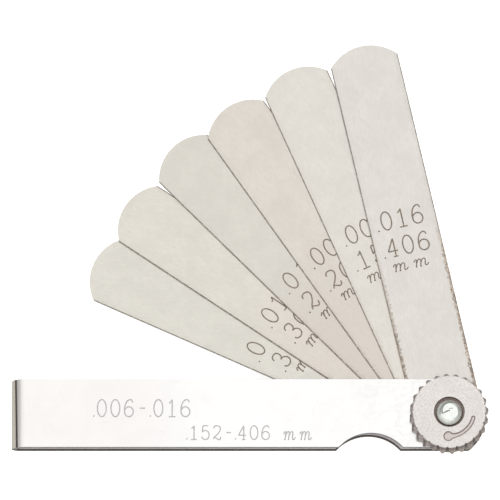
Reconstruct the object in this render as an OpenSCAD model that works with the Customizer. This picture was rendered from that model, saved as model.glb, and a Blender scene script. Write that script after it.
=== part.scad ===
// Pocket feeler gauge: six steel blades on one pivot, in an open hairpin holder.
// It lies flat with the lock nut up. The origin is the centre of the pivot
// screw's head, on its back face. The holder runs towards -X, and the blades
// are fanned out towards +Y. The holder is open along both long edges, so a
// blade turns out on either side and is folded when it points along -X.

/* [Holder] */
// Width of the bent strip
holder_w = 12.8; // [12:0.1:16]
// Thickness of the bent strip
strip_t = 0.95; // [0.7:0.05:1.2]
// Distance from the pivot to the outside of the bend
bend_reach = 80.9; // [78:0.1:100]
// Outside radius of the bend where it meets the back leaf
bend_back_r = 1.5; // [1.3:0.1:1.9]
// Distance from the pivot to the rounded nose
nose_reach = 6.8; // [6.4:0.1:9]
// Radius of the rounded nose
nose_r = 8; // [8:0.1:20]
// How far the pivot lies from the middle of the strip, towards the notch
pivot_offset = 0.5; // [0:0.05:0.6]

/* [Thumb notch] */
// Radius of the notch
notch_r = 8; // [5:0.1:12]
// How far the notch bites into the long edge
notch_bite = 2.66; // [1:0.01:4]
// Distance from the pivot to the middle of the notch, along the holder
notch_back = 14.45; // [13:0.05:40]
// How far the back leaf's notch lies behind the front leaf's
notch_skew = 0.5; // [0:0.1:1]

/* [Blades] */
// Thicknesses in thousandths of an inch, from the back of the pack to the front
blade_thou = [14, 12, 10, 8, 6, 16]; // [2:1:30]
// Angle of each blade from +X, in the same order
blade_angle = [156.1, 146.2, 135.2, 125.1, 114.2, 103.1]; // [0:0.1:180]
// Width of a blade
blade_w = 12.7; // [12:0.1:12.8]
// Distance from the pivot to each blade's tip, in the same order
blade_reach = [71.95, 72.05, 72.2, 71.45, 71.75, 71.75]; // [60:0.05:76]
// Radius of a blade's rounded tip
tip_r = 8.4; // [7:0.1:12]
// Gap on each side of a blade
blade_gap = 0.08; // [0.04:0.01:0.2]

/* [Pivot screw] */
// Diameter of the shank
shank_d = 4.8; // [4:0.1:5]
// Diameter of the low round head
head_d = 9; // [8:0.1:11]
// Height of the head
head_t = 1; // [0.8:0.1:2]
// Side of the square neck that keeps the screw from turning
neck_w = 5; // [4.9:0.1:5.4]
// Diameter of the flat on the shank's end
shank_flat_d = 3.2; // [2:0.1:3.6]
// Height of the slope between that flat and the thread's crest
shank_slope = 0.5; // [0.2:0.05:0.8]

/* [Lock nut] */
// Diameter over the crests of the teeth
nut_d = 14.6; // [13:0.1:18]
// Diameter of the nut's flat face
nut_face_d = 13.4; // [12:0.1:13.4]
// Height of the nut
nut_h = 4; // [3.6:0.1:6]
// Number of teeth
nut_teeth = 24; // [16:1:26]
// Depth of the V grooves between the teeth
tooth_depth = 0.75; // [0.4:0.05:1]
// Angle of one groove from +X
tooth_phase = 12; // [0:0.5:24]
// Diameter of the well around the shank's end
well_d = 5.7; // [5.4:0.1:7]
// Depth of the well
well_depth = 1.2; // [1:0.1:2.5]
// Depth of the coined direction mark
mark_depth = 0.12; // [0.05:0.01:0.3]

/* [Hidden] */
NODES = [
    "holder", "blade_014", "blade_012", "blade_010", "blade_008", "blade_006",
    "blade_016", "pivot_screw", "lock_nut"
];
$fn = 96;

// Running clearance of everything round that turns on the shank
run_fit = 0.05;
// Clearance between the square neck and its hole, and of the front leaf's hole
seat_fit = 0.05;
// Gap between the lock nut and the front leaf
nut_gap = 0.02;
// How far a cutting shape runs past the surface it cuts
past = 1;

BLADE_NODES = [for (i = [1 : 6]) NODES[i]];
blade_t = [for (thou = blade_thou) thou * 0.0254];
function stack_height(count) = count == 0 ? 0 : blade_t[count - 1] + stack_height(count - 1);

blade_count = len(blade_thou);
slot_t = stack_height(blade_count) + (blade_count + 1) * blade_gap;
holder_t = slot_t + 2 * strip_t;
back_leaf_z = head_t;
slot_z = back_leaf_z + strip_t;
front_leaf_z = slot_z + slot_t;
holder_top_z = back_leaf_z + holder_t;
nut_z = holder_top_z + nut_gap;
nut_top_z = nut_z + nut_h;
bend_front_r = holder_t - bend_back_r;

shank_r = shank_d / 2;
shank_flat_r = shank_flat_d / 2;
head_edge = 0.25;
nut_r = nut_d / 2;
nut_face_r = nut_face_d / 2;
nut_shoulder = 1;
nut_back_edge = 0.3;
groove_pitch = 360 / nut_teeth;
// Half the width of a V groove for each millimetre of its depth
groove_flare = 1.2;

// The direction mark: a round blob with a tail along an arc about the axis
mark_r = 4.6;
mark_blob_r = 0.72;
mark_tail_r = 0.22;
mark_from = 268;
mark_to = 346;

// Side outline of the bent strip: two leaves and the bend that joins them,
// a larger quarter turn into the front leaf and a tighter one into the back
module strip_outline(inset) {
    front_r = bend_front_r - inset;
    back_r = bend_back_r - inset;
    run = bend_reach + nose_reach + past;
    translate([bend_front_r, bend_back_r])
        intersection() {
            circle(r = front_r);
            translate([-front_r, 0]) square(front_r);
        }
    translate([bend_back_r, bend_back_r])
        intersection() {
            circle(r = back_r);
            translate([-back_r, -back_r]) square(back_r);
        }
    translate([bend_back_r, inset]) square([run - bend_back_r, bend_back_r - inset]);
    translate([bend_front_r, bend_back_r]) square([run - bend_front_r, front_r]);
}

// The bent strip, before its ends and holes are cut
module bent_strip() {
    translate([-bend_reach, pivot_offset + holder_w / 2, back_leaf_z])
        rotate([90, 0, 0])
        linear_extrude(height = holder_w)
        difference() {
            strip_outline(0);
            strip_outline(strip_t);
        }
}

// Plan outline of both leaves, with the rounded nose
module holder_plan() {
    translate([0, pivot_offset]) {
        translate([-bend_reach - past, -holder_w / 2 - past])
            square([bend_reach + past, holder_w + 2 * past]);
        translate([nose_reach - nose_r, 0]) circle(r = nose_r);
    }
}

// One leaf's thumb notch
module thumb_notch(z, height, skew) {
    notch_y = pivot_offset - holder_w / 2 + notch_bite - notch_r;
    translate([-notch_back - skew, notch_y, z])
        cylinder(r = notch_r, h = height);
}

// Folded sheet holder, open along both long edges
module holder() {
    color("whitesmoke")
    difference() {
        intersection() {
            bent_strip();
            translate([0, 0, back_leaf_z - past])
                linear_extrude(height = holder_t + 2 * past) holder_plan();
        }
        thumb_notch(slot_z + slot_t / 2, holder_t, 0);
        thumb_notch(back_leaf_z - past, past + strip_t + slot_t / 2, notch_skew);
        translate([0, 0, slot_z]) cylinder(r = shank_r + run_fit + seat_fit, h = holder_t);
        translate([0, 0, slot_z])
            cube([neck_w + 2 * seat_fit, neck_w + 2 * seat_fit, 2 * (strip_t + 0.5)],
                center = true);
    }
}

// Plan outline of one blade, pointing along +X from its pivot
module blade_plan(reach) {
    circle(d = blade_w);
    translate([0, -blade_w / 2]) square([reach - tip_r, blade_w]);
    intersection() {
        translate([reach - tip_r, 0]) circle(r = tip_r);
        translate([0, -blade_w / 2]) square([reach, blade_w]);
    }
}

// One measuring blade, at its place in the pack
module blade(index) {
    z = slot_z + stack_height(index) + (index + 1) * blade_gap;
    color("gainsboro")
    translate([0, 0, z])
        rotate([0, 0, blade_angle[index]])
        difference() {
            linear_extrude(height = blade_t[index]) blade_plan(blade_reach[index]);
            translate([0, 0, -past]) cylinder(r = shank_r + run_fit, h = blade_t[index] + 2 * past);
        }
}

// Pivot screw: low head at the back, square neck in the back leaf, plain shank
module pivot_screw() {
    head_r = head_d / 2;
    color("lightgray")
    union() {
        rotate_extrude()
            polygon([
                [0, 0],
                [head_r - head_edge, 0],
                [head_r, head_edge],
                [head_r, head_t],
                [shank_r, head_t],
                [shank_r, nut_top_z - shank_slope],
                [shank_flat_r, nut_top_z],
                [0, nut_top_z]
            ]);
        translate([-neck_w / 2, -neck_w / 2, head_t / 2])
            cube([neck_w, neck_w, head_t / 2 + strip_t]);
    }
}

// Blank of the lock nut: a flat face, a sloping shoulder and a small back edge
module nut_blank() {
    rotate_extrude()
        polygon([
            [shank_r + run_fit, 0],
            [nut_r - nut_back_edge, 0],
            [nut_r, nut_back_edge],
            [nut_r, nut_h - nut_shoulder],
            [nut_r - 0.15, nut_h - nut_shoulder * 0.5],
            [nut_face_r, nut_h],
            [well_d / 2, nut_h],
            [well_d / 2, nut_h - well_depth],
            [shank_r + run_fit, nut_h - well_depth]
        ]);
}

// One V groove of the rim, along +X
module rim_groove() {
    translate([nut_r - tooth_depth, 0, -past])
        linear_extrude(height = nut_h + 2 * past)
        polygon([[0, 0], [2, 2 * groove_flare], [2, -2 * groove_flare]]);
}

// Direction mark coined into the face
module direction_mark() {
    translate([0, 0, nut_h - mark_depth]) {
        rotate([0, 0, mark_from]) translate([mark_r, 0]) cylinder(r = mark_blob_r, h = past);
        rotate([0, 0, mark_from])
            rotate_extrude(angle = mark_to - mark_from)
            translate([mark_r - mark_tail_r, 0]) square([2 * mark_tail_r, past]);
        rotate([0, 0, mark_to]) translate([mark_r, 0]) cylinder(r = mark_tail_r, h = past);
    }
}

// Round serrated nut that clamps the pack
module lock_nut() {
    color("silver")
    translate([0, 0, nut_z])
        difference() {
            nut_blank();
            for (tooth = [0 : nut_teeth - 1])
                rotate([0, 0, tooth_phase + tooth * groove_pitch]) rim_groove();
            direction_mark();
        }
}

holder();
for (i = [0 : blade_count - 1])
    blade(i);
pivot_screw();
lock_nut();
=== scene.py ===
import math

import bmesh
import bpy
from mathutils import Matrix, Vector


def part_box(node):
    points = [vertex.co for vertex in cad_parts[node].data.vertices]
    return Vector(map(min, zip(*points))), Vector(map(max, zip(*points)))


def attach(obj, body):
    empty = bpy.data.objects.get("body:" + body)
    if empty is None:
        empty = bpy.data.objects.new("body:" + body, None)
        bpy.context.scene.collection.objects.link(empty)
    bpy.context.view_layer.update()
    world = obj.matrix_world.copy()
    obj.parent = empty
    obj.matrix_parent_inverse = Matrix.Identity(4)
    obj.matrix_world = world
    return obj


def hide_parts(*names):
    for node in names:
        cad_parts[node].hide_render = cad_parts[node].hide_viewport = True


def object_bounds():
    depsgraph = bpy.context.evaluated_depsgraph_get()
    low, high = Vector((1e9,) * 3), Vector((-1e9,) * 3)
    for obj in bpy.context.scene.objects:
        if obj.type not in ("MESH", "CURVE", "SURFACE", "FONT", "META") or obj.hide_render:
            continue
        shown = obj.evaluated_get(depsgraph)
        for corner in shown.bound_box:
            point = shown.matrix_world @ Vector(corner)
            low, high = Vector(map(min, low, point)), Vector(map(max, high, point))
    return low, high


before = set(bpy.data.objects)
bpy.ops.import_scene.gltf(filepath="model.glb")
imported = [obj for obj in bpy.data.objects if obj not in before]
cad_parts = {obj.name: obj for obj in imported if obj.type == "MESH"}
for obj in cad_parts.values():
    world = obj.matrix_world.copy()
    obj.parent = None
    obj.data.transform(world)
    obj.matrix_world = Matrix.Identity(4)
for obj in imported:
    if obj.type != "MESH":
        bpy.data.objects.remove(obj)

CAD_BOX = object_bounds()

# ---------------------------------------------------------------- sizes, in millimetres
MM = 0.001                          # one millimetre in the frame's metres
BLADE_HALF_WIDTH = 6.35
HOLDER_HALF_WIDTH = 6.4
HOLDER_MIDDLE_Y = 0.5               # the strip's middle lies this far from the pivot
SLOT_FLOOR_Z = 1.95                 # inner face of the holder's back leaf
NOTCH = (-14.95, -11.24)            # centre of the back leaf's thumb notch
NOTCH_RADIUS = 8.0
BEND_FROM_X = -70.0                 # faces across the strip beyond this belong to the bend
FACE_Z = 9.15                       # the nut's face and the screw's end lie just above this
SCREW_END_SHIFT = (0.14, 0.22)      # how far off centre the screw's flat end was dressed

# Engraved rows on a blade: baselines from the pivot, then the figures' own sizes
ROW_INCH = 37.15
ROW_METRIC = 31.98
ROW_UNIT = 29.15
DIGIT_H = 3.45                      # between stroke centres
DIGIT_HALF_WIDTH = 0.99
DIGIT_PITCH = 2.92                  # from one figure to the next
UNIT_H = 1.35
UNIT_HALF_WIDTH = 1.08
UNIT_PITCH = 3.9
UNIT_START = -2.25                  # the first m, from the blade's middle
STROKE = 0.27                       # width of an engraved stroke
UNIT_STROKE = 0.82 * STROKE
CUT_DEPTH = 0.07                    # of the figures, or less on a thin blade

# Rows stamped into the holder: figures, where the first one stands (from the pivot along the
# strip, and from the strip's middle), then height, pitch, half width and stroke
HOLDER_ROWS = (
    (".006-.016", (-64.2, -0.7), 3.2, 2.5, 0.86, 0.26),
    (".152-.406", (-47.2, -5.0), 2.6, 2.15, 0.74, 0.24),
    ("mm", (-29.5, -5.0), 1.5, 3.0, 0.86, 0.24),
)

# Each blade by its gauge: angle from +X, its size in millimetres, where its rows were struck
# (along, across), the pitch of its inch figures, how much it has browned towards the pivot
# (blush) and rusted along its edges (rust), and its steel's colour
BLADES = {
    "014": dict(angle=156.1, metric=".356", shift=(-0.9, 0.5), pitch=3.4,
                blush=0.0, rust=0.25, tint=(0.766, 0.745, 0.686)),
    "012": dict(angle=146.2, metric=".305", shift=(-0.6, 0.55), pitch=DIGIT_PITCH,
                blush=0.5, rust=0.25, tint=(0.779, 0.749, 0.686)),
    "010": dict(angle=135.2, metric=".254", shift=(0.1, 0.6), pitch=3.2,
                blush=1.0, rust=0.25, tint=(0.742, 0.719, 0.661)),
    "008": dict(angle=125.1, metric=".203", shift=(-0.05, 0.45), pitch=DIGIT_PITCH,
                blush=0.6, rust=0.25, tint=(0.758, 0.720, 0.661)),
    "006": dict(angle=114.2, metric=".152", shift=(-0.1, 0.6), pitch=DIGIT_PITCH,
                blush=0.0, rust=0.25, tint=(0.791, 0.761, 0.707)),
    "016": dict(angle=103.1, metric=".406", shift=(-0.35, 0.0), pitch=DIGIT_PITCH,
                blush=0.0, rust=0.9, tint=(0.784, 0.757, 0.720)),
}

# ---------------------------------------------------------------- colours, linear
STEEL_STAIN = (0.60, 0.535, 0.47)
STEEL_SPECK = (0.40, 0.33, 0.27)
STEEL_BLUSH = (0.72, 0.62, 0.58)
# painted shade along the blades' edges
STEEL_EDGE_SHADE = (0.15, 0.12, 0.10)
RUST_DARK = (0.17, 0.13, 0.10)
RUST_PALE = (0.46, 0.385, 0.31)

NICKEL = (0.955, 0.955, 0.955)
NICKEL_CLOUD = (0.925, 0.925, 0.93)
NICKEL_SMUDGE = (0.88, 0.865, 0.85)
NICKEL_WORN = (0.83, 0.83, 0.835)
# partly painted: the bend's warm grey also stands for the pale floor it reflects
BENT_DULL_AND_REFLECTION = (0.62, 0.595, 0.54)
NICKEL_RUBBED = (0.78, 0.74, 0.745)
# painted light: a dark reflected line outside the bend, painted shade along the back leaf's rim and in
# the slot's mouth
BEND_DARK_REFLECTION = (0.085, 0.078, 0.062)
BACK_RIM_SHADE = (0.115, 0.092, 0.080)
SLOT_SHADE = (0.085, 0.066, 0.056)
NOSE_BROWN = (0.40, 0.335, 0.30)
WARM_END = (0.955, 0.940, 0.930)    # multiplies the plating towards the bend

NUT_TINT = (0.932, 0.896, 0.874)
MARK_FLOOR = (0.60, 0.515, 0.51)
# painted shade in the well round the screw
WELL_SHADE = (0.36, 0.295, 0.270)
GRIME = (0.34, 0.285, 0.265)
GRIME_PALE = (0.66, 0.575, 0.55)
# painted shade at the teeth's roots and tips and on the shoulder under the face
TOOTH_ROOT_SHADE = (0.060, 0.046, 0.040)
TOOTH_TIP_SHADE = (0.10, 0.078, 0.080)
SHOULDER_SHADE = (0.12, 0.095, 0.085)

ZINC = (0.93, 0.955, 0.93)
ZINC_CLOUD = (0.84, 0.87, 0.85)
# painted shade on the near side of the screw end's slope, then a painted dark reflection round its flat
ZINC_SLOPE_SHADE = (0.72, 0.745, 0.70)
ZINC_DARK_REFLECTION = (0.20, 0.24, 0.205)


# ---------------------------------------------------------------- node materials
MIX_A, MIX_B, MIX_OUT = 6, 7, 2     # a Mix node's sockets for colours


def shade(color, factor):
    return tuple(c * factor for c in color)


class Shader:
    """A material under construction, with short calls for its nodes."""

    def __init__(self, name):
        self.material = bpy.data.materials.new(name)
        self.material.use_nodes = True
        self.tree = self.material.node_tree
        self.tree.nodes.clear()
        self.out = self.tree.nodes.new("ShaderNodeOutputMaterial")
        self.bsdf = self.tree.nodes.new("ShaderNodeBsdfPrincipled")
        self.join(self.bsdf.outputs[0], self.out.inputs["Surface"])
        self.coords = self.tree.nodes.new("ShaderNodeTexCoord").outputs["Object"]

    def join(self, source, socket):
        self.tree.links.new(source, socket)

    def feed(self, socket, value):
        """Links value to socket if it comes from a node, or else sets it."""
        if isinstance(value, bpy.types.NodeSocket):
            self.join(value, socket)
        else:
            socket.default_value = value

    def mapped(self, angle=0.0, stretch=(1, 1, 1), shift=(0, 0, 0)):
        """Object coordinates in millimetres, turned by -angle about Z, stretched and shifted."""
        turn = self.tree.nodes.new("ShaderNodeMapping")
        turn.inputs["Rotation"].default_value = (0, 0, -math.radians(angle))
        turn.inputs["Scale"].default_value = (1 / MM, 1 / MM, 1 / MM)
        self.join(self.coords, turn.inputs["Vector"])
        spread = self.tree.nodes.new("ShaderNodeMapping")
        spread.inputs["Location"].default_value = shift
        spread.inputs["Scale"].default_value = stretch
        self.join(turn.outputs[0], spread.inputs["Vector"])
        return spread.outputs[0]

    def axes(self, vector):
        node = self.tree.nodes.new("ShaderNodeSeparateXYZ")
        self.join(vector, node.inputs[0])
        return node.outputs

    def noise(self, vector, scale, detail=3.0, rough=0.55, distort=0.0):
        """Fractal noise of 0 to 1, with scale features to the millimetre."""
        node = self.tree.nodes.new("ShaderNodeTexNoise")
        self.join(vector, node.inputs["Vector"])
        node.inputs["Scale"].default_value = scale
        node.inputs["Detail"].default_value = detail
        node.inputs["Roughness"].default_value = rough
        node.inputs["Distortion"].default_value = distort
        return node.outputs["Fac"]

    def spots(self, vector, scale):
        """Distance from the nearest of many scattered points."""
        node = self.tree.nodes.new("ShaderNodeTexVoronoi")
        self.join(vector, node.inputs["Vector"])
        node.inputs["Scale"].default_value = scale
        return node.outputs["Distance"]

    def math(self, op, *values):
        node = self.tree.nodes.new("ShaderNodeMath")
        node.operation = op
        for socket, value in zip(node.inputs, values):
            self.feed(socket, value)
        return node.outputs[0]

    def add(self, a, b):
        return self.math("ADD", a, b)

    def less(self, a, b):
        return self.math("SUBTRACT", a, b)

    def times(self, first, *others):
        for other in others:
            first = self.math("MULTIPLY", first, other)
        return first

    def distance(self, x, y, centre=(0.0, 0.0)):
        """Distance from an upright axis through centre."""
        dx = self.less(x, centre[0])
        dy = self.less(y, centre[1])
        return self.math("SQRT", self.add(self.times(dx, dx), self.times(dy, dy)))

    def ramp(self, value, low, high, out_low=0.0, out_high=1.0):
        """value from low..high to out_low..out_high, smoothly and clamped."""
        node = self.tree.nodes.new("ShaderNodeMapRange")
        node.interpolation_type = "SMOOTHSTEP"
        self.feed(node.inputs["Value"], value)
        node.inputs["From Min"].default_value = low
        node.inputs["From Max"].default_value = high
        node.inputs["To Min"].default_value = out_low
        node.inputs["To Max"].default_value = out_high
        return node.outputs["Result"]

    def mix(self, factor, a, b, blend="MIX"):
        node = self.tree.nodes.new("ShaderNodeMix")
        node.data_type = "RGBA"
        node.blend_type = blend
        self.feed(node.inputs["Factor"], factor)
        self.feed(node.inputs[MIX_A], a if isinstance(a, bpy.types.NodeSocket) else (*a, 1))
        self.feed(node.inputs[MIX_B], b if isinstance(b, bpy.types.NodeSocket) else (*b, 1))
        return node.outputs[MIX_OUT]

    def bump(self, height, distance, strength):
        """Bumps as high as distance, in metres, where height is 1."""
        node = self.tree.nodes.new("ShaderNodeBump")
        node.inputs["Strength"].default_value = strength
        node.inputs["Distance"].default_value = distance
        self.join(height, node.inputs["Height"])
        return node.outputs[0]

    def finish(self, color, metallic, roughness, normal=None):
        self.feed(self.bsdf.inputs["Base Color"], color)
        self.feed(self.bsdf.inputs["Metallic"], metallic)
        self.feed(self.bsdf.inputs["Roughness"], roughness)
        if normal is not None:
            self.join(normal, self.bsdf.inputs["Normal"])
        return self.material


def blade_steel(gauge, spec, seed):
    """Satin ground spring steel: fine cross grain, mottling, and rust along the edges."""
    s = Shader("satin_blade_" + gauge)
    angle, tint = spec["angle"], spec["tint"]
    place = s.mapped(angle, shift=(seed * 31.7, seed * 11.3, 0))
    along, across, _ = s.axes(s.mapped(angle))
    rim = s.less(BLADE_HALF_WIDTH, s.math("ABSOLUTE", across))

    # the ground surface
    grain = s.noise(s.mapped(angle, stretch=(0.55, 7.0, 1.0), shift=(seed, seed, 0)), 1.6, 4, 0.65)
    sweep = s.noise(s.mapped(angle + 38, stretch=(0.35, 5.0, 1.0), shift=(seed, 0, 0)), 1.1, 3)
    mottle = s.noise(place, 0.22, 4, 0.6, 0.4)
    color = s.mix(s.ramp(mottle, 0.35, 0.68), shade(tint, 0.965), shade(tint, 1.03))
    color = s.mix(s.ramp(grain, 0.35, 0.75, 0.0, 0.6), color, shade(tint, 0.875))
    color = s.mix(s.ramp(sweep, 0.45, 0.75, 0.0, 0.28), color, shade(tint, 1.06))

    # stains and small specks
    stain = s.noise(place, 0.9, 5, 0.7, 0.8)
    color = s.mix(s.ramp(stain, 0.60, 0.78, 0.0, 0.30), color, STEEL_STAIN)
    speck = s.times(s.ramp(s.spots(place, 2.4), 0.10, 0.04), s.ramp(stain, 0.50, 0.62, 0.0, 0.55))
    color = s.mix(speck, color, STEEL_SPECK)

    # some blades have browned towards the pivot
    browned = s.times(s.ramp(along, 48.0, 22.0), s.ramp(mottle, 0.25, 0.6, 0.4, 1.0))
    color = s.mix(s.times(browned, spec["blush"]), color, shade(tint, 0.93))
    color = s.mix(s.times(browned, 0.5 * spec["blush"]), color, STEEL_BLUSH)

    # a brown line along each edge, painted shade of the rounded edge
    ragged = s.noise(place, 1.7, 6, 0.75, 0.3)
    outline = s.times(s.ramp(rim, 0.28, 0.10, 0.0, 0.85), s.ramp(ragged, 0.30, 0.55, 0.35, 1.0))
    color = s.mix(outline, color, STEEL_EDGE_SHADE)

    # a ragged band of rust near the pivot, where fingers touch; less of it on the left edge
    band = s.ramp(s.less(s.math("MULTIPLY_ADD", ragged, 2.6, -0.78), rim), -0.14, 0.10)
    spared = s.times(s.ramp(across, -1.0, 1.0), s.ramp(along, 12.0, 34.0, 0.0, 0.75))
    touched = s.times(s.ramp(along, 37.0, 30.0, 0.10, 1.0), s.less(1.0, spared))
    rusty = s.times(band, touched, spec["rust"])
    color = s.mix(rusty, color, s.mix(s.ramp(stain, 0.4, 0.6), RUST_DARK, RUST_PALE))

    rough = s.add(s.ramp(grain, 0.3, 0.75, 0.30, 0.42), s.times(rusty, 0.3))
    metallic = s.less(1.0, s.times(rusty, 0.7))
    height = s.add(grain, s.times(s.add(band, speck), -1.2))
    return s.finish(color, metallic, rough, s.bump(height, 0.000012, 0.5))


def oxide_and_shade(name, dark, light):
    """Dull brown-grey at the bottom of cuts, with a little metal showing through: an oxide skin in the
    blades' figures, and painted shade in the other cuts.
    """
    s = Shader(name)
    grain = s.noise(s.mapped(), 3.0, 4, 0.7)
    color = s.mix(s.ramp(grain, 0.32, 0.70), dark, light)
    metallic = s.ramp(grain, 0.35, 0.75, 0.1, 0.6)
    return s.finish(color, metallic, s.ramp(grain, 0.3, 0.7, 0.75, 0.5), s.bump(grain, 0.00001, 0.4))


def cut_edge(name, dark, light, metallic, low_shade=None):
    """Sheared sheet edge: streaks along the thickness and dark handling dirt; its dark colours are
    partly the edge's own and partly painted shade.

    The last argument, if given, is (bottom, top, colour): painted shade that thickens from top down to
    bottom.
    """
    s = Shader(name)
    streak = s.noise(s.mapped(stretch=(6.0, 6.0, 0.7)), 1.4, 4, 0.6)
    dirt = s.noise(s.mapped(), 0.8, 4, 0.6)
    color = s.mix(s.ramp(streak, 0.3, 0.7), dark, light)
    color = s.mix(s.ramp(dirt, 0.55, 0.75, 0.0, 0.6), color, shade(dark, 0.6))
    # painted shade, darker towards the bottom of the edge
    if low_shade:
        bottom, top, low_shade_color = low_shade
        _, _, z = s.axes(s.mapped())
        color = s.mix(s.ramp(z, top, bottom), color, s.mix(dirt, shade(low_shade_color, 0.7), shade(low_shade_color, 1.3)))
    return s.finish(color, metallic, s.ramp(streak, 0.3, 0.7, 0.34, 0.54), s.bump(streak, 0.00002, 0.6))


def bright_plate():
    """Polished nickel plating: almost a mirror, with faint smudges, wipe marks and hairlines."""
    s = Shader("bright_plate")
    x, y, z = s.axes(s.mapped())
    cloud = s.noise(s.mapped(), 0.12, 4, 0.6, 0.6)
    smudge = s.noise(s.mapped(shift=(17, 5, 0)), 0.45, 5, 0.65, 1.0)
    wipe = s.noise(s.mapped(12, stretch=(0.25, 6, 1)), 1.6, 4, 0.7)
    hair = s.noise(s.mapped(-31, stretch=(0.12, 14, 1)), 1.3, 2, 0.5)

    # smudges all over, and duller plating where the thumb works, near the nut
    color = s.mix(s.ramp(cloud, 0.35, 0.7), NICKEL, NICKEL_CLOUD)
    color = s.mix(s.ramp(smudge, 0.58, 0.75, 0.0, 0.5), color, NICKEL_SMUDGE)
    worn = s.times(s.ramp(smudge, 0.42, 0.62), s.ramp(x, -24.0, -7.0))
    color = s.mix(s.times(worn, 0.5), color, NICKEL_WORN)

    # the bend's plating is duller, and its warm grey is partly a painted reflection of the pale floor;
    # outside it runs a dark, slightly slanting line, a painted reflection of the dim horizon
    bent = s.ramp(x, -79.4, -80.4, 0.0, 0.8)
    color = s.mix(bent, color, BENT_DULL_AND_REFLECTION)
    off_reflection_line = s.less(x, s.math("MULTIPLY_ADD", y, -0.020, -80.00))
    off_reflection_line = s.add(s.math("ABSOLUTE", off_reflection_line), s.times(wipe, 0.12))
    bend_reflection = s.times(s.ramp(off_reflection_line, 0.34, 0.12), s.ramp(z, 2.4, 2.8))
    color = s.mix(s.times(bend_reflection, 0.92), color, BEND_DARK_REFLECTION)

    # painted shade along the back leaf's long edges, under the front leaf
    across = s.math("ABSOLUTE", s.less(y, HOLDER_MIDDLE_Y))
    back_rim_shade = s.times(s.ramp(across, 6.22, 6.34), s.ramp(z, 2.6, 1.8))
    color = s.mix(s.times(back_rim_shade, 0.9), color, BACK_RIM_SHADE)

    # the slot's mouth is dull where the blades have rubbed, with painted shade at its very edge
    past_notch = s.less(s.distance(x, y, NOTCH), NOTCH_RADIUS)
    inward = s.math("MINIMUM", s.less(HOLDER_HALF_WIDTH, across), past_notch)
    rubbed = s.times(s.ramp(inward, 1.2, 0.8), s.math("COMPARE", z, SLOT_FLOOR_Z, 0.03))
    color = s.mix(rubbed, color, s.mix(s.ramp(inward, 0.15, 0.30), SLOT_SHADE, NICKEL_RUBBED))

    # warmer towards the bend, and browned at the nose
    warm = s.mix(s.ramp(x, -42.0, -58.0), (1.0, 1.0, 1.0), WARM_END)
    color = s.mix(1.0, color, warm, "MULTIPLY")
    color = s.mix(s.ramp(x, 1.6, 3.0, 0.0, 0.7), color, NOSE_BROWN)

    rough = s.add(s.ramp(smudge, 0.4, 0.75, 0.06, 0.14), s.ramp(wipe, 0.55, 0.8, 0.0, 0.05))
    rough = s.add(rough, s.times(s.add(bent, bend_reflection), 0.12))
    rough = s.add(rough, s.times(worn, 0.03))
    rough = s.add(rough, s.times(rubbed, 0.5))
    metallic = s.less(1.0, s.times(rubbed, 0.9))
    height = s.add(s.ramp(hair, 0.66, 0.72, 0.0, -0.5), s.times(wipe, 0.15))
    return s.finish(color, metallic, rough, s.bump(height, 0.000004, 0.5))


def nut_plate():
    """Dull plated steel of the nut: sand-like grain, and brown grime with painted shade on the toothed
    rim.
    """
    s = Shader("nut_plate")
    place = s.mapped()
    x, y, z = s.axes(place)
    radius = s.distance(x, y)
    sunk = s.less(FACE_Z, z)
    fine = s.noise(place, 3.4, 5, 0.75)
    cloud = s.noise(place, 0.5, 4, 0.6, 0.5)
    color = s.mix(s.ramp(cloud, 0.35, 0.7), shade(NUT_TINT, 0.97), shade(NUT_TINT, 1.04))
    color = s.mix(s.ramp(fine, 0.40, 0.66, 0.0, 0.9), color, shade(NUT_TINT, 0.80))

    # the sunk mark keeps some brown, and the well's brown is painted shade
    mark = s.times(s.ramp(sunk, 0.03, 0.13), s.ramp(radius, 6.3, 6.2))
    color = s.mix(s.times(mark, 0.55), color, MARK_FLOOR)
    well_shade = s.times(s.ramp(sunk, 0.10, 0.55), s.ramp(radius, 3.0, 2.9))
    color = s.mix(well_shade, color, WELL_SHADE)

    # the rim below the face is brown grime, with painted shade darkest at the roots of the teeth; on
    # the side towards the bend, the roots are left pale and the tips get the painted shade
    grime_and_shade = s.mix(s.ramp(fine, 0.30, 0.62), GRIME, GRIME_PALE)
    bend_side = s.ramp(x, -1.5, -4.5)
    root_shade = s.times(s.ramp(radius, 6.95, 6.66, 0.0, 0.85), s.less(1.0, bend_side))
    grime_and_shade = s.mix(root_shade, grime_and_shade, TOOTH_ROOT_SHADE)
    tip = s.times(s.ramp(radius, 6.95, 7.15, 0.0, 0.75), bend_side)
    grime_and_shade = s.mix(tip, grime_and_shade, TOOTH_TIP_SHADE)
    # painted shade on the shoulder under the face
    grime_and_shade = s.mix(s.ramp(sunk, 1.25, 0.35, 0.0, 0.6), grime_and_shade, SHOULDER_SHADE)
    side = s.times(s.ramp(sunk, 0.05, 0.17), s.ramp(radius, 6.2, 6.3))
    color = s.mix(side, color, grime_and_shade)

    rough = s.ramp(fine, 0.3, 0.7, 0.42, 0.56)
    metallic = s.less(1.0, s.times(side, 0.5))
    return s.finish(color, metallic, rough, s.bump(fine, 0.00001, 0.6))


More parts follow.
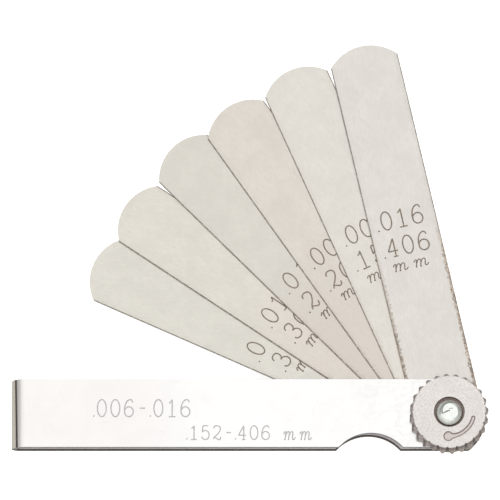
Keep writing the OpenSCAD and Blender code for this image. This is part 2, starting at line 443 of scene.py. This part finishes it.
def zinc_plate():
    """Bright zinc on the screw, faintly green, with turning marks round the axis."""
    s = Shader("zinc_plate")
    place = s.mapped()
    x, y, z = s.axes(place)
    radius = s.distance(x, y)
    sunk = s.less(FACE_Z, z)
    cloud = s.noise(place, 1.3, 4, 0.6, 0.4)
    color = s.mix(s.ramp(cloud, 0.35, 0.7), ZINC, ZINC_CLOUD)

    # painted shade: the slope round the end is darker, except at its far side
    slope_shade = s.times(s.ramp(sunk, 0.02, 0.07), s.ramp(y, 1.5, 0.4))
    color = s.mix(s.times(slope_shade, 0.8), color, ZINC_SLOPE_SHADE)

    # a painted dark reflection where the flat ends, fading towards the near side
    off_ring = s.math("ABSOLUTE", s.less(radius, 1.68))
    ring = s.times(s.ramp(off_ring, 0.13, 0.05), s.ramp(y, -0.9, 0.2, 0.0, 0.7),
                   s.ramp(sunk, 0.25, 0.20))
    color = s.mix(ring, color, ZINC_DARK_REFLECTION)

    turned = s.times(s.math("SINE", s.times(radius, 42.0)), 0.12)
    rough = s.ramp(cloud, 0.3, 0.7, 0.14, 0.26)
    return s.finish(color, 1.0, rough, s.bump(s.add(turned, cloud), 0.000005, 0.5))


# ---------------------------------------------------------------- mesh helpers, in millimetres
def cad_solid(node):
    """A clean copy of a CAD node's mesh in millimetres: welded, with whole flat faces."""
    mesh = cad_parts[node].data.copy()
    mesh.materials.clear()
    mesh.transform(Matrix.Scale(1 / MM, 4))
    bm = bmesh.new()
    bm.from_mesh(mesh)
    bmesh.ops.remove_doubles(bm, verts=bm.verts, dist=0.0008)
    bmesh.ops.dissolve_limit(bm, angle_limit=math.radians(0.6), verts=bm.verts, edges=bm.edges)
    bmesh.ops.recalc_face_normals(bm, faces=bm.faces)
    bm.to_mesh(mesh)
    bm.free()
    for layer in list(mesh.uv_layers):
        mesh.uv_layers.remove(layer)
    for attribute in list(mesh.attributes):
        if not attribute.is_required and not attribute.is_internal:
            mesh.attributes.remove(attribute)
    return mesh


def new_object(name, mesh):
    obj = bpy.data.objects.new(name, mesh)
    bpy.context.scene.collection.objects.link(obj)
    return obj


def mesh_from(bm, name, *materials):
    """Ends a bmesh whose faces may point anywhere, and returns it as a mesh."""
    bmesh.ops.recalc_face_normals(bm, faces=bm.faces)
    mesh = bpy.data.meshes.new(name)
    bm.to_mesh(mesh)
    bm.free()
    for material in materials:
        mesh.materials.append(material)
    return mesh


def bake_modifiers(obj):
    """Applies every modifier of obj to its mesh."""
    depsgraph = bpy.context.evaluated_depsgraph_get()
    obj.data = bpy.data.meshes.new_from_object(obj.evaluated_get(depsgraph))
    obj.modifiers.clear()


def round_edges(obj, width, segments=2, angle=30.0):
    """Rounds every edge that is sharper than angle, in degrees."""
    modifier = obj.modifiers.new("round", "BEVEL")
    modifier.width = width
    modifier.segments = segments
    modifier.limit_method = "ANGLE"
    modifier.angle_limit = math.radians(angle)
    modifier.use_clamp_overlap = True
    bake_modifiers(obj)


def carve(obj, cutter):
    """Cuts cutter out of obj, and keeps the cutter's material on the cut faces."""
    modifier = obj.modifiers.new("carve", "BOOLEAN")
    modifier.operation = "DIFFERENCE"
    modifier.solver = "EXACT"
    modifier.use_self = True
    modifier.material_mode = "TRANSFER"
    modifier.object = cutter
    bake_modifiers(obj)
    bpy.data.objects.remove(cutter)


def settle(obj, body, node):
    """Brings a finished piece to metres, shades it, and puts it in the CAD node's place."""
    obj.data.transform(Matrix.Scale(MM, 4))
    obj.data.update()
    for polygon in obj.data.polygons:
        polygon.use_smooth = True
    obj.data.set_sharp_from_angle(angle=math.radians(28.0))
    modifier = obj.modifiers.new("flat faces stay flat", "WEIGHTED_NORMAL")
    modifier.keep_sharp = True
    bake_modifiers(obj)
    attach(obj, body)
    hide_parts(node)


def paint_faces(mesh, index, chosen):
    """Gives material number index to the faces for which chosen(face) is true."""
    for polygon in mesh.polygons:
        if chosen(polygon):
            polygon.material_index = index


# ---------------------------------------------------------------- strokes
def polar(radius, angle):
    return Vector((radius * math.cos(angle), radius * math.sin(angle)))


def across_run(run, before, after):
    """Unit vector to the left of the way from run[before] to run[after]."""
    along = (run[after] - run[before]).normalized()
    return Vector((-along.y, along.x))


def line(*points):
    """A straight stroke."""
    return [Vector(p) for p in points]


def curve(points, steps=6):
    """A smooth open stroke through given points (Catmull-Rom)."""
    pts = line(*points)
    pts = [pts[0] * 2 - pts[1]] + pts + [pts[-1] * 2 - pts[-2]]
    run = []
    for a, b, c, d in zip(pts, pts[1:], pts[2:], pts[3:]):
        for k in range(steps):
            t = k / steps
            run.append(0.5 * (2 * b + (c - a) * t + (2 * a - 5 * b + 4 * c - d) * t * t
                              + (3 * b - a - 3 * c + d) * t ** 3))
    return run + [pts[-2]]


def oval(cx, cy, rx, ry, start=90.0, sweep=360.0, steps=28):
    """Part of an ellipse, from start through sweep degrees, with steps to a whole one."""
    count = max(4, int(steps * abs(sweep) / 360))
    run = []
    for k in range(count + 1):
        a = math.radians(start + sweep * k / count)
        run.append(Vector((cx + rx * math.cos(a), cy + ry * math.sin(a))))
    return run


# The strokes of each figure, in a cell where x runs from -1 to 1 and y from 0 to 1
FIGURES = {
    "0": [oval(0, 0.5, 0.95, 0.5)],
    "1": [curve([(-0.62, 0.80), (-0.25, 0.86), (0.08, 1.0)]),
          line((0.08, 1.0), (0.05, 0.02)),
          line((-0.72, 0.0), (0.78, 0.0))],
    "2": [curve([(-0.82, 0.80), (-0.62, 0.95), (0.0, 1.0), (0.72, 0.90), (0.78, 0.68),
                 (0.2, 0.42), (-0.6, 0.20), (-0.95, 0.03)]),
          curve([(-0.95, 0.03), (-0.62, 0.16), (-0.2, 0.10), (0.25, 0.0), (0.72, 0.02),
                 (0.95, 0.20)])],
    "3": [curve([(-0.80, 0.82), (-0.55, 0.96), (0.0, 1.0), (0.62, 0.92), (0.72, 0.72),
                 (0.42, 0.57), (-0.05, 0.53)]),
          curve([(-0.05, 0.53), (0.55, 0.48), (0.92, 0.28), (0.66, 0.07), (0.0, 0.0),
                 (-0.66, 0.07), (-0.88, 0.22)])],
    "4": [line((0.34, 1.0), (-0.95, 0.31)),
          line((-0.95, 0.31), (0.92, 0.31)),
          line((0.34, 1.0), (0.34, 0.02)),
          line((-0.12, 0.0), (0.74, 0.0))],
    "5": [line((0.70, 1.0), (-0.62, 1.0)),
          line((-0.62, 1.0), (-0.74, 0.55)),
          curve([(-0.74, 0.55), (-0.1, 0.66), (0.68, 0.56), (0.92, 0.33), (0.64, 0.08),
                 (-0.05, 0.0), (-0.70, 0.08), (-0.88, 0.22)])],
    "6": [curve([(0.80, 0.83), (0.62, 0.96), (0.15, 1.0), (-0.50, 0.86), (-0.90, 0.55),
                 (-0.93, 0.28)]),
          oval(0.0, 0.29, 0.94, 0.29)],
    "8": [oval(0.0, 0.76, 0.72, 0.24), oval(0.0, 0.27, 0.92, 0.27)],
    "m": [curve([(-1.28, 0.66), (-1.05, 0.92), (-0.82, 0.98), (-0.76, 0.80)], 4),
          line((-0.76, 0.86), (-0.98, 0.0)),
          curve([(-0.86, 0.40), (-0.50, 0.92), (-0.16, 0.98), (-0.02, 0.74)], 4),
          line((-0.02, 0.78), (-0.22, 0.0)),
          curve([(-0.12, 0.40), (0.26, 0.92), (0.60, 0.98), (0.74, 0.74), (0.60, 0.22),
                 (0.72, 0.0), (1.0, 0.06), (1.26, 0.30)], 4),
          line((-1.14, 0.0), (-0.82, 0.0)),
          line((-0.38, 0.0), (-0.06, 0.0))],
    "-": [line((-0.6, 0.5), (0.6, 0.5))],
}


class Cutter:
    """V-shaped grooves along strokes on the plane z = top, for one boolean cut."""

    def __init__(self, place, top, depth):
        self.place = place                  # 4x4: from the row's own plane to the object
        self.top = top
        self.depth = depth
        self.clear = 0.25 * depth + 0.02    # how far a groove's walls run on above the plane
        self.bm = bmesh.new()

    def _point(self, p, z):
        return self.bm.verts.new(self.place @ Vector((p.x, p.y, z)))

    def _section(self, p, side, half, depth):
        """The three corners of the V at point p of a stroke."""
        reach = half * (1 + self.clear / self.depth)
        return (self._point(p + side * reach, self.top + self.clear),
                self._point(p - side * reach, self.top + self.clear),
                self._point(p, self.top - depth))

    def _walls(self, sections, following):
        for a, b in zip(sections, following):
            self.bm.faces.new((a[0], b[0], b[1], a[1]))
            self.bm.faces.new((a[1], b[1], b[2], a[2]))
            self.bm.faces.new((a[2], b[2], b[0], a[0]))

    def groove(self, run, width):
        """One stroke: a V groove that narrows a little at its two ends."""
        if len(run) == 2:
            run = [run[0].lerp(run[1], t) for t in (0.0, 0.08, 0.5, 0.92, 1.0)]
        last = len(run) - 1
        sections = []
        for k, p in enumerate(run):
            side = across_run(run, max(k - 1, 0), min(k + 1, last))
            if k in (0, last):
                sections.append(self._section(p, side, 0.36 * width, 0.75 * self.depth))
            else:
                sections.append(self._section(p, side, 0.5 * width, self.depth))
        self._walls(sections, sections[1:])
        self.bm.faces.new(sections[0])
        self.bm.faces.new(sections[-1][::-1])

    def ring(self, run, width):
        """A closed stroke: the same groove with its ends joined."""
        count = len(run) - 1
        sections = [self._section(run[k], across_run(run, k - 1, (k + 1) % count), 0.5 * width,
                                  self.depth) for k in range(count)]
        self._walls(sections, sections[1:] + sections[:1])

    def dot(self, centre, radius):
        """A punched point: a blunt cone that starts just above the plane."""
        sides = 12
        top, bottom = [], []
        for k in range(sides):
            out = polar(1.0, 2 * math.pi * k / sides)
            top.append(self._point(centre + out * radius * 1.15, self.top + 0.02))
            bottom.append(self._point(centre + out * radius * 0.35, self.top - self.depth))
        self.bm.faces.new(top)
        self.bm.faces.new(bottom[::-1])
        for k in range(sides):
            n = (k + 1) % sides
            self.bm.faces.new((top[k], bottom[k], bottom[n], top[n]))

    def text(self, words, start, height, pitch, half_width, width):
        """A row of figures; start is the middle of the first figure, on the baseline.

        A point stands low on the left of the figure after it. It takes no room at the start of
        a row, and a little inside one.
        """
        x = start.x
        for spot, character in enumerate(words):
            if character == ".":
                if spot:
                    x += 0.18 * pitch
                self.dot(Vector((x - 0.59 * pitch, start.y + 0.12)), width * 0.62)
                continue
            for run in FIGURES[character]:
                placed = [Vector((x + p.x * half_width, start.y + p.y * height)) for p in run]
                closed = (run[0] - run[-1]).length < 1e-6
                (self.ring if closed else self.groove)(placed, width)
            x += pitch

    def made(self, name, material):
        return new_object(name, mesh_from(self.bm, name, material))


# ---------------------------------------------------------------- the pieces
def make_blade(gauge, spec, cut_skin, edge_skin, seed):
    """One blade with its three engraved rows; a thin one has finer edges and shallower cuts."""
    node = "blade_" + gauge
    low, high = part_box(node)
    thick = (high.z - low.z) / MM
    blade = new_object(node + "_engraved", cad_solid(node))
    blade.data.materials.append(blade_steel(gauge, spec, seed))
    blade.data.materials.append(edge_skin)
    paint_faces(blade.data, 1, lambda face: abs(face.normal.z) < 0.5)
    round_edges(blade, min(0.05, 0.28 * thick))

    # The rows' own plane: x across the blade to the right, y towards the tip
    turn = math.radians(spec["angle"])
    tip = Vector((math.cos(turn), math.sin(turn), 0))
    right = Vector((tip.y, -tip.x, 0))
    place = Matrix((right, tip, Vector((0, 0, 1)))).transposed().to_4x4()
    cutter = Cutter(place, high.z / MM, min(CUT_DEPTH, 0.36 * thick))
    along, across = spec["shift"]
    for size, row, pitch in (("." + gauge, ROW_INCH, spec["pitch"]),
                             (spec["metric"], ROW_METRIC, DIGIT_PITCH)):
        cutter.text(size, Vector((across - DIGIT_PITCH, row + along)), DIGIT_H, pitch,
                    DIGIT_HALF_WIDTH, STROKE)
    cutter.text("mm", Vector((across + UNIT_START, ROW_UNIT + along)), UNIT_H, UNIT_PITCH,
                UNIT_HALF_WIDTH, UNIT_STROKE)
    carve(blade, cutter.made(node + "_cutter", cut_skin))
    settle(blade, "leaf_" + gauge, node)


def make_holder(cut_skin, edge_skin):
    """The bent strip, its face stamped with the range of sizes it holds."""
    low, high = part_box("holder")
    holder = new_object("holder_plated", cad_solid("holder"))
    holder.data.materials.append(bright_plate())
    holder.data.materials.append(edge_skin)

    def sheared(face):
        """Whether the shears left this face: long edges, noses and notches, but not the bend."""
        bent = abs(face.normal.y) < 0.1 and face.center.x < BEND_FROM_X
        return abs(face.normal.z) <= 0.4 and not bent

    paint_faces(holder.data, 1, sheared)
    round_edges(holder, 0.06, 3)
    middle = 0.5 * (low.y + high.y) / MM
    cutter = Cutter(Matrix.Translation((0, middle, 0)), high.z / MM, CUT_DEPTH)
    for words, start, *sizes in HOLDER_ROWS:
        cutter.text(words, Vector(start), *sizes)
    carve(holder, cutter.made("holder_cutter", cut_skin))
    settle(holder, "case", "holder")


def comet_outline(blob_r, tail_half, path_r, start, stop):
    """Outline of the direction mark: a round blob that flows into a tail along an arc."""
    neck_half = blob_r * 0.62           # the tail's half width where it leaves the blob
    thinning = 0.55                     # how far the tail runs on before it is thin

    def half_width(s):
        """Half the mark's width at the distance s along the arc from the blob's centre."""
        blob = math.sqrt(max(blob_r ** 2 - s * s, 0.0))
        if s <= 0.55 * blob_r:
            return blob
        flare = (neck_half - tail_half) * math.exp(-max(s - 0.6 * blob_r, 0) / thinning)
        return max(blob, tail_half + flare)

    steps = 40
    length = path_r * math.radians(stop - start)
    first = math.radians(start)
    end = math.radians(stop)
    outer = [polar(path_r, first - blob_r / path_r)]
    inner = []
    for k in range(1, steps + 1):
        # the power sets the points closer together round the blob
        s = -blob_r + (length + blob_r) * (k / steps) ** 1.7
        outer.append(polar(path_r + half_width(s), first + s / path_r))
        inner.append(polar(path_r - half_width(s), first + s / path_r))
    cap = [polar(path_r, end) + tail_half * polar(1.0, end + math.pi * k / 6) for k in range(1, 6)]
    return outer + cap + inner[::-1]


def mark_cutter(outline, top, floor_skin, wall_skin):
    """A solid that sinks outline into the plane z = top, with walls that lean outwards."""
    depth, lean, clear = 0.16, 0.24, 0.03
    bm = bmesh.new()
    count = len(outline)
    rims = []
    for z, grow in ((top + clear, lean * (1 + clear / depth)), (top - depth, 0.0)):
        rim = []
        for k, p in enumerate(outline):
            side = across_run(outline, k - 1, (k + 1) % count)
            rim.append(bm.verts.new((p.x - side.x * grow, p.y - side.y * grow, z)))
        rims.append(rim)
    upper, lower = rims
    bm.faces.new(upper)
    bm.faces.new(lower[::-1])
    for k in range(count):
        n = (k + 1) % count
        bm.faces.new((upper[k], lower[k], lower[n], upper[n]))
    mesh = mesh_from(bm, "mark", floor_skin, wall_skin)
    paint_faces(mesh, 1, lambda face: abs(face.normal.z) < 0.9)
    return new_object("mark", mesh)


def make_nut(cut_skin):
    """The lock nut, with rounded teeth and the direction mark sunk into its face."""
    nut = new_object("lock_nut_serrated", cad_solid("lock_nut"))
    plate = nut_plate()
    nut.data.materials.append(plate)
    round_edges(nut, 0.05, angle=35.0)
    _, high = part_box("lock_nut")
    outline = comet_outline(blob_r=0.70, tail_half=0.17, path_r=4.58, start=268, stop=346)
    carve(nut, mark_cutter(outline, high.z / MM, plate, cut_skin))
    settle(nut, "nut", "lock_nut")


def make_screw(cut_skin):
    """The pivot screw, its end dressed off centre, with a dark groove that paints the reflected dark
    arc round its flat, and two scratches.
    """
    _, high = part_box("pivot_screw")
    top = high.z / MM
    screw = new_object("pivot_screw_plated", cad_solid("pivot_screw"))
    screw.data.materials.append(zinc_plate())
    for vertex in screw.data.vertices:
        if vertex.co.z > top - 0.05:
            vertex.co.x += SCREW_END_SHIFT[0]
            vertex.co.y += SCREW_END_SHIFT[1]
    round_edges(screw, 0.06, angle=25.0)
    cutter = Cutter(Matrix.Identity(4), top, 0.06)
    # a dark groove that paints the dark reflection round the upper left of the flat
    dark_arc_groove = oval(0.16, 0.24, 1.50, 1.50, start=70, sweep=135, steps=48)
    deep_scratch = line((-1.10, -0.24), (-0.48, 0.08), (0.16, 0.32))
    light_scratch = line((-0.12, 0.62), (0.44, 0.66), (0.64, 0.52))
    for stroke, width in ((dark_arc_groove, 0.26), (deep_scratch, 0.30), (light_scratch, 0.12)):
        cutter.groove(stroke, width)
    carve(screw, cutter.made("screw_cutter", cut_skin))
    settle(screw, "case", "pivot_screw")


def make_object():
    figures = oxide_and_shade("engraved_oxide", (0.115, 0.090, 0.070), (0.30, 0.255, 0.21))
    stamped = oxide_and_shade("stamped_shadow", (0.34, 0.335, 0.33), (0.56, 0.555, 0.55))
    mark = oxide_and_shade("mark_shadow", (0.16, 0.12, 0.11), (0.32, 0.255, 0.24))
    scratch = oxide_and_shade("scratch_shadow", (0.12, 0.15, 0.12), (0.30, 0.34, 0.30))
    # the edges' dark colours are partly their own and partly painted shade
    blade_edge = cut_edge("blade_edge", (0.26, 0.22, 0.185), (0.52, 0.47, 0.42), 0.9)
    sheet_edge = cut_edge("sheet_edge", (0.24, 0.235, 0.25), (0.36, 0.35, 0.37), 0.4,
                          low_shade=(1.9, 3.6, SLOT_SHADE))
    for seed, (gauge, spec) in enumerate(BLADES.items(), 1):
        make_blade(gauge, spec, figures, blade_edge, seed)
    make_holder(stamped, sheet_edge)
    make_nut(mark)
    make_screw(scratch)


# ---------------------------------------------------------------- studio, in metres
VIEW_TILT = math.radians(10.9)      # the camera leans this far from straight down, towards -Y
VIEW_WIDTH = 0.09263                # what the picture spans at the object
VIEW_DISTANCE = 4.0
VIEW_MIDDLE_Y = 0.0316              # the point that the camera looks at
VIEW_MIDDLE_Z = 0.003
SENSOR = 36.0
LIT_POINT = Vector((-0.037, 0.03, 0))
FLOOR_SINK = 0.00002                # keeps the floor off the screw's head


def make_camera():
    low, high = CAD_BOX
    target = Vector(((low[0] + high[0]) / 2, VIEW_MIDDLE_Y, VIEW_MIDDLE_Z))
    data = bpy.data.cameras.new("camera")
    data.sensor_width = SENSOR
    data.lens = SENSOR * VIEW_DISTANCE / VIEW_WIDTH
    data.clip_start = 0.01
    data.clip_end = 20.0
    camera = new_object("camera", data)
    back = Vector((0, -math.sin(VIEW_TILT), math.cos(VIEW_TILT)))
    camera.location = target + back * VIEW_DISTANCE
    camera.rotation_euler = back.to_track_quat("Z", "Y").to_euler()
    bpy.context.scene.camera = camera


def make_world():
    """Soft tent, brightest overhead and dim from the horizon down, and white to the camera."""
    world = bpy.data.worlds.new("tent")
    bpy.context.scene.world = world
    world.use_nodes = True
    tree = world.node_tree
    tree.nodes.clear()
    out = tree.nodes.new("ShaderNodeOutputWorld")
    background = tree.nodes.new("ShaderNodeBackground")
    coords = tree.nodes.new("ShaderNodeTexCoord")
    split = tree.nodes.new("ShaderNodeSeparateXYZ")
    ramp = tree.nodes.new("ShaderNodeValToRGB")
    tree.links.new(coords.outputs["Generated"], split.inputs[0])
    tree.links.new(split.outputs["Z"], ramp.inputs["Fac"])
    ramp.color_ramp.interpolation = "EASE"
    stops = ((0.0, 0.12), (0.07, 0.20), (0.22, 0.48), (0.60, 0.62), (0.90, 1.0), (1.0, 1.08))
    while len(ramp.color_ramp.elements) < len(stops):
        ramp.color_ramp.elements.new(0.5)
    for element, (where, level) in zip(ramp.color_ramp.elements, stops):
        element.position = where
        element.color = (level, level * 0.99, level * 0.975, 1)
    ray = tree.nodes.new("ShaderNodeLightPath")
    pick = tree.nodes.new("ShaderNodeMix")
    pick.data_type = "RGBA"
    pick.inputs[MIX_B].default_value = (1.0, 1.0, 1.0, 1)
    tree.links.new(ray.outputs["Is Camera Ray"], pick.inputs["Factor"])
    tree.links.new(ramp.outputs["Color"], pick.inputs[MIX_A])
    tree.links.new(pick.outputs[MIX_OUT], background.inputs["Color"])
    tree.links.new(background.outputs[0], out.inputs["Surface"])


def make_light(name, where, size, power):
    """A round soft light that shows in no reflection."""
    data = bpy.data.lights.new(name, "AREA")
    data.shape = "DISK"
    data.size = size
    data.energy = power
    light = new_object(name, data)
    light.location = where
    light.rotation_euler = (Vector(where) - LIT_POINT).to_track_quat("Z", "Y").to_euler()
    light.visible_glossy = False


def make_floor():
    """A matt card; the camera sees it evenly lit, as an overexposed studio table."""
    bm = bmesh.new()
    bmesh.ops.create_grid(bm, x_segments=1, y_segments=1, size=3.0)
    mesh = bpy.data.meshes.new("floor")
    bm.to_mesh(mesh)
    bm.free()
    floor = new_object("floor", mesh)
    floor.location.z = -FLOOR_SINK
    s = Shader("floor_card")
    card = s.mix(s.noise(s.mapped(), 0.5, 2), (0.50, 0.49, 0.465), (0.53, 0.52, 0.495))
    mesh.materials.append(s.finish(card, 0.0, 0.9))
    ray = s.tree.nodes.new("ShaderNodeLightPath")
    s.bsdf.inputs["Emission Color"].default_value = (1, 1, 1, 1)
    s.join(s.times(ray.outputs["Is Camera Ray"], 0.85), s.bsdf.inputs["Emission Strength"])


def make_studio():
    make_world()
    make_light("key", (-0.25, 0.55, 0.75), size=0.5, power=7.0)
    make_light("fill", (0.45, -0.35, 0.9), size=0.6, power=3.0)
    make_floor()
    bpy.context.scene.view_settings.view_transform = "Standard"


make_camera()
make_object()
make_studio()
